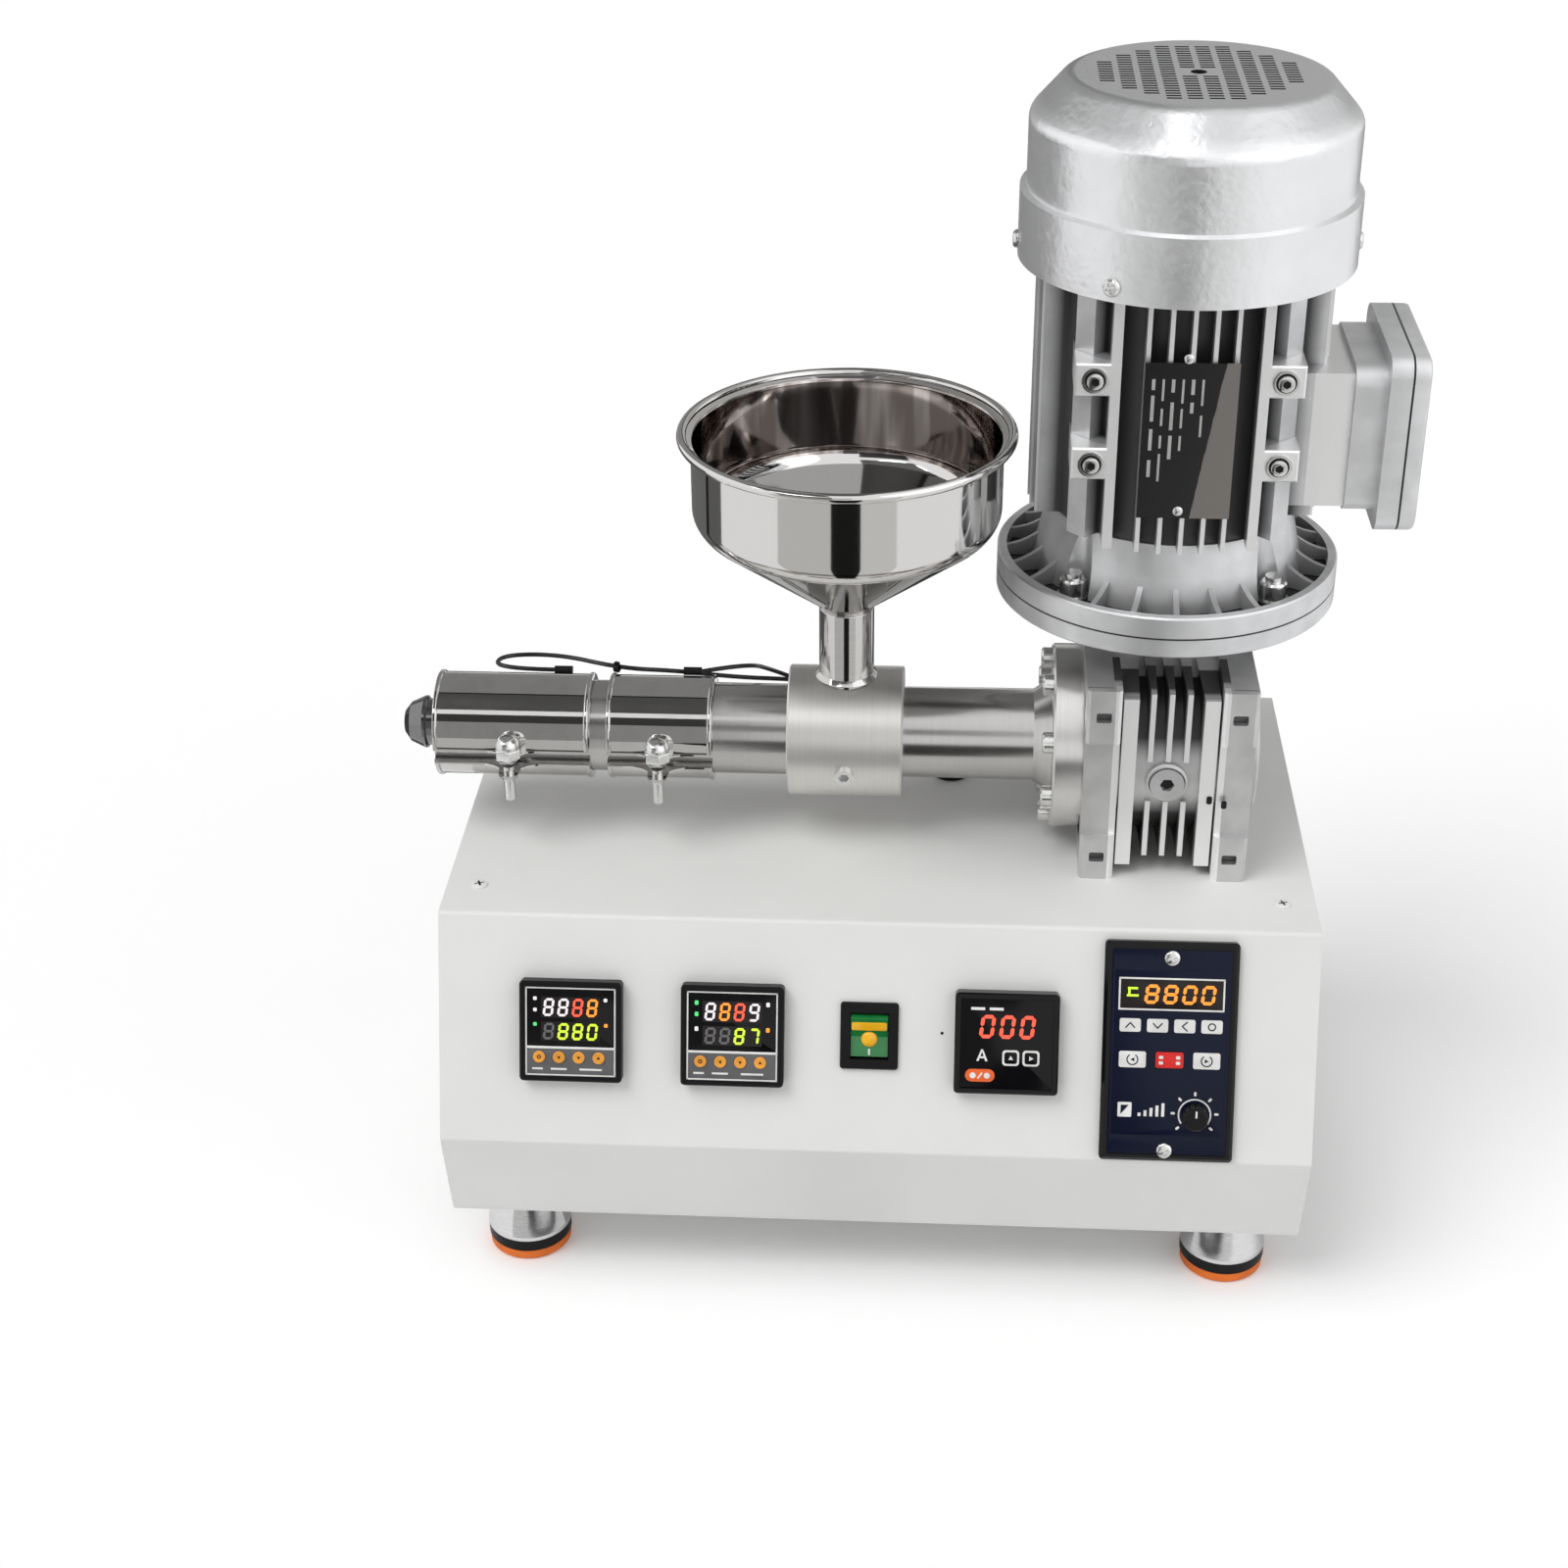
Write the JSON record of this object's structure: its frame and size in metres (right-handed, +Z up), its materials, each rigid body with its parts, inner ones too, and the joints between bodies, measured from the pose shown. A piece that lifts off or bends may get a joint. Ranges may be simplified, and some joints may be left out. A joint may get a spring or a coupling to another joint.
{
  "type": "filament extruder",
  "caption": "Bench extruder: pellets fall from the hopper into a heated screw barrel driven by an upright worm gear motor on a cabinet.",
  "frame": {"origin": "on the floor, under the middle of the outline", "axes": "+Z up, +X along the barrel towards the gearbox, +Y to the back; the panel faces -Y"},
  "size_m": [0.4736, 0.2746, 0.5515],
  "materials": {
    "black_lead": "black sleeve",
    "black_plastic": "satin black",
    "black_screw": "black oxide",
    "cabinet_paint": "fine textured warm light grey paint",
    "cast_aluminium": "blasted casting",
    "chrome": "polished chrome",
    "dark_plate": "black and grey printed foil",
    "dark_steel": "dark heat-treated steel",
    "gloss_black": "glossy black",
    "green_rocker": "translucent green",
    "orange_rubber": "matt orange",
    "polished_steel": "polished stainless sheet",
    "satin_steel": "turned stainless steel",
    "silver_paint": "silver paint",
    "steel": "turned steel",
    "zinc": "bright zinc"
  },
  "bodies": {
    "machine": {"barrel_flange": "satin_steel", "barrel_tube": "satin_steel", "block_set_screw": "zinc", "cabinet_back": "cabinet_paint", "cabinet_base": "cabinet_paint", "cabinet_cover": "cabinet_paint", "cabinet_left_side": "cabinet_paint", "cabinet_right_side": "cabinet_paint", "cabinet_screws": "black_screw", "cable_grommet": "black_plastic", "clamp_bolt_1": "zinc", "clamp_bolt_2": "zinc", "current_meter": "gloss_black", "extruder_screw": "steel", "fan": "black_plastic", "fan_cover": "silver_paint", "feed_block": "satin_steel", "feed_spout": "polished_steel", "flange_bolts": "zinc", "flange_nuts": "zinc", "foot_cones": "chrome", "foot_pads": "orange_rubber", "foot_rings": "black_plastic", "gearbox_housing": "cast_aluminium", "gearbox_input_flange": "silver_paint", "gearbox_side_cover": "cast_aluminium", "heater_band_1": "polished_steel", "heater_band_2": "polished_steel", "heater_lead_1": "black_lead", "heater_lead_2": "black_lead", "hopper": "polished_steel", "lead_glands": "black_plastic", "left_controller": "black_plastic", "motor_end_shield": "silver_paint", "motor_housing": "silver_paint", "motor_nameplate": "dark_plate", "motor_shaft": "steel", "nozzle": "dark_steel", "oil_plug": "cast_aluminium", "rear_tube": "satin_steel", "right_controller": "black_plastic", "rocker_frame": "black_plastic", "speed_controller": "gloss_black", "terminal_box": "silver_paint", "terminal_box_lid": "silver_paint"},
    "rocker": {"rocker": "green_rocker"},
    "speed_knob": {"speed_knob": "black_plastic"}
  },
  "joints": [
    {"name": "rocker_tilt", "type": "hinge", "parent": "machine", "child": "rocker", "pos_m": [-0.00655, -0.10852, 0.14267], "axis": [1, 0, 0], "range_deg": [-16, 0]},
    {"name": "speed_turn", "type": "hinge", "parent": "machine", "child": "speed_knob", "pos_m": [0.14425, -0.12682, 0.11495], "axis": [0, -0.9352, 0.3541], "range_deg": [-135, 135]}
  ]
}
